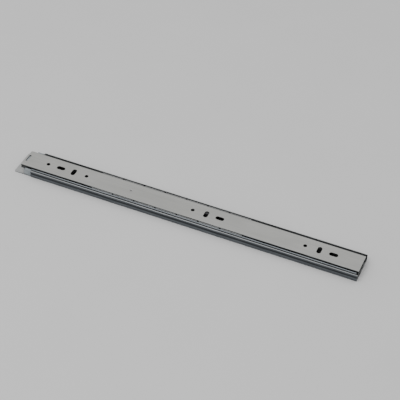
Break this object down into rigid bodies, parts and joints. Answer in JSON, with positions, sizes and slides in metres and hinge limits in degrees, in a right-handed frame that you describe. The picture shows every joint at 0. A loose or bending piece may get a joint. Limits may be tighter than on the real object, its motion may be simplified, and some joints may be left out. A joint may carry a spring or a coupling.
{
  "type": "cabinet drawer slide",
  "caption": "Full-extension ball-bearing drawer slide: three nested steel channels, two ball retainers, a rear bumper and a release lever.",
  "frame": {"origin": "centre of the closed slide's footprint, on the plane that lies against the cabinet side", "axes": "+X is the way the drawer pulls out, +Y runs across the slide, +Z points from the cabinet member to the drawer member"},
  "size_m": [0.509, 0.045, 0.0127],
  "materials": {
    "zinc_steel": "satin zinc plated",
    "rivet_steel": "satin",
    "retainer_steel": "bright zinc plated",
    "ball_steel": "polished",
    "black_plastic": "moulded, fine texture",
    "grey_plastic": "unpigmented moulded plastic, slightly milky",
    "black_rubber": "moulded rubber"
  },
  "bodies": {
    "cabinet": {"cabinet_member": "zinc_steel", "rear_bumper": "grey_plastic", "rear_bumper_rivet": "rivet_steel"},
    "intermediate": {"intermediate_member": "zinc_steel", "intermediate_rear_bumper": "black_plastic", "lever_catch": "rivet_steel", "lever_catch_rivets": "rivet_steel", "catch_cushion": "black_rubber"},
    "drawer": {"drawer_member": "zinc_steel", "lever_pivot_rivet": "rivet_steel", "lever_washer": "rivet_steel"},
    "outer_retainer": {"outer_ball_retainer": "retainer_steel", "outer_balls_near": "ball_steel", "outer_balls_far": "ball_steel"},
    "inner_retainer": {"inner_ball_retainer": "retainer_steel", "inner_balls_near": "ball_steel", "inner_balls_far": "ball_steel"},
    "lever": {"release_lever": "black_plastic"}
  },
  "joints": [
    {"name": "intermediate_slide", "type": "slide", "parent": "cabinet", "child": "intermediate", "axis": [1, 0, 0], "range_m": [0, 0.256]},
    {"name": "drawer_slide", "type": "slide", "parent": "intermediate", "child": "drawer", "axis": [1, 0, 0], "range_m": [0, 0.24]},
    {"name": "outer_retainer_roll", "type": "slide", "parent": "cabinet", "child": "outer_retainer", "axis": [1, 0, 0], "range_m": [0, 0.128]},
    {"name": "inner_retainer_roll", "type": "slide", "parent": "intermediate", "child": "inner_retainer", "axis": [1, 0, 0], "range_m": [0, 0.12]},
    {"name": "lever_swing", "type": "hinge", "parent": "drawer", "child": "lever", "pos_m": [-0.082, 0, 0.01], "axis": [0, 0, 1], "range_deg": [0, 3.4], "stiffness_Nm_per_rad": 0.5, "springref_deg": -5.73}
  ],
  "couplings": [
    {"joint": "outer_retainer_roll", "follows": "intermediate_slide", "ratio": 0.5},
    {"joint": "inner_retainer_roll", "follows": "drawer_slide", "ratio": 0.5}
  ]
}
